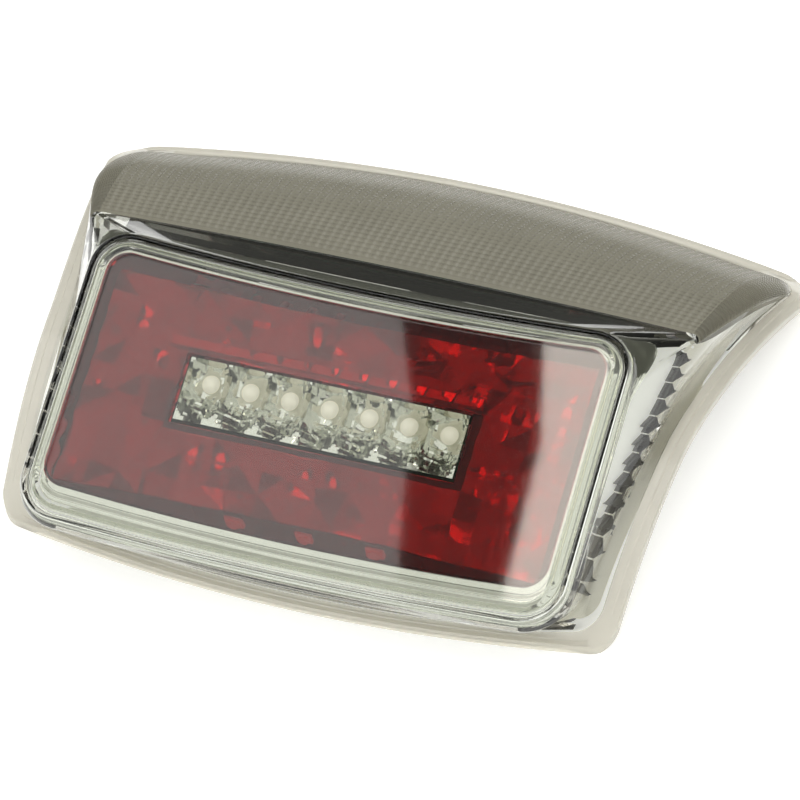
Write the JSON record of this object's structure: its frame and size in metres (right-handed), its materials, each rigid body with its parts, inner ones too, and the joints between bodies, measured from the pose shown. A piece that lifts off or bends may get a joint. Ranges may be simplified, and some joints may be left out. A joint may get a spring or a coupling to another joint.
{
  "type": "tail light",
  "caption": "Arched motorcycle tail light: clear cover with a chromed frame and prismatic roof over a red lens, whose window shows a row of LEDs, on a base with stud fixings and a cable inlet.",
  "frame": {"origin": "on the surface that the light's rim rests on, under the middle of the light's bounding box", "axes": "+Z out of the light, away from the tail panel that it is fixed to; +Y towards the roof, which is the top of the light as fitted; +X to the right as seen from the front"},
  "size_m": [0.1556, 0.122, 0.0397],
  "materials": {
    "clear_plastic": "clear polycarbonate with a faint cream tint, polished",
    "roof_plastic": "smoky clear polycarbonate with fine prisms on its inner side",
    "red_plastic": "transparent red acrylic with pillow optics behind it, polished",
    "metallised_plastic": "vacuum metallised, mirror bright",
    "black_plastic": "moulded, fine grain",
    "rubber": "soft, matt",
    "circuit_board": "solder mask over glass laminate",
    "led_epoxy": "clear cream epoxy",
    "chip_plastic": "moulded component body",
    "resistor_body": "coated component body",
    "capacitor_sleeve": "shrunk sleeve over an aluminium can",
    "white_plastic": "moulded",
    "brass": "bright",
    "plated_steel": "zinc plated"
  },
  "bodies": {
    "housing": {"base_housing": "black_plastic", "body_gasket": "rubber", "lens_seal": "rubber", "main_reflector": "metallised_plastic", "roof_reflector": "metallised_plastic", "led_reflector": "metallised_plastic", "led_board": "circuit_board", "led_1": "led_epoxy", "led_2": "led_epoxy", "led_3": "led_epoxy", "led_4": "led_epoxy", "led_5": "led_epoxy", "led_6": "led_epoxy", "led_7": "led_epoxy", "board_screws": "plated_steel", "driver_board": "circuit_board", "resistors": "resistor_body", "bridge_rectifier": "chip_plastic", "voltage_regulator": "chip_plastic", "capacitor": "capacitor_sleeve", "plate_light_board": "circuit_board", "plate_leds": "led_epoxy", "terminal_block": "white_plastic", "terminal_blades": "brass", "cable_grommet": "rubber", "mount_grommet_left": "rubber", "mount_grommet_right": "rubber", "mount_sleeve_left": "plated_steel", "mount_sleeve_right": "plated_steel"},
    "cover": {"outer_lens": "clear_plastic", "roof_lens": "roof_plastic", "red_lens": "red_plastic", "chrome_surround": "metallised_plastic", "side_reflector_left": "metallised_plastic", "side_reflector_right": "metallised_plastic", "insert_left": "brass", "insert_right": "brass"},
    "screw_left": {"lens_screw_left": "plated_steel"},
    "screw_right": {"lens_screw_right": "plated_steel"}
  },
  "joints": [
    {"name": "cover_release", "type": "slide", "parent": "housing", "child": "cover", "axis": [0, 0, 1], "range_m": [0, 0.06]},
    {"name": "lens_screw_left_turn", "type": "hinge", "parent": "housing", "child": "screw_left", "pos_m": [-0.057, 0.037, 0.0059], "axis": [0, 0, 1], "continuous": true},
    {"name": "lens_screw_right_turn", "type": "hinge", "parent": "housing", "child": "screw_right", "pos_m": [0.057, 0.037, 0.0059], "axis": [0, 0, 1], "continuous": true}
  ]
}
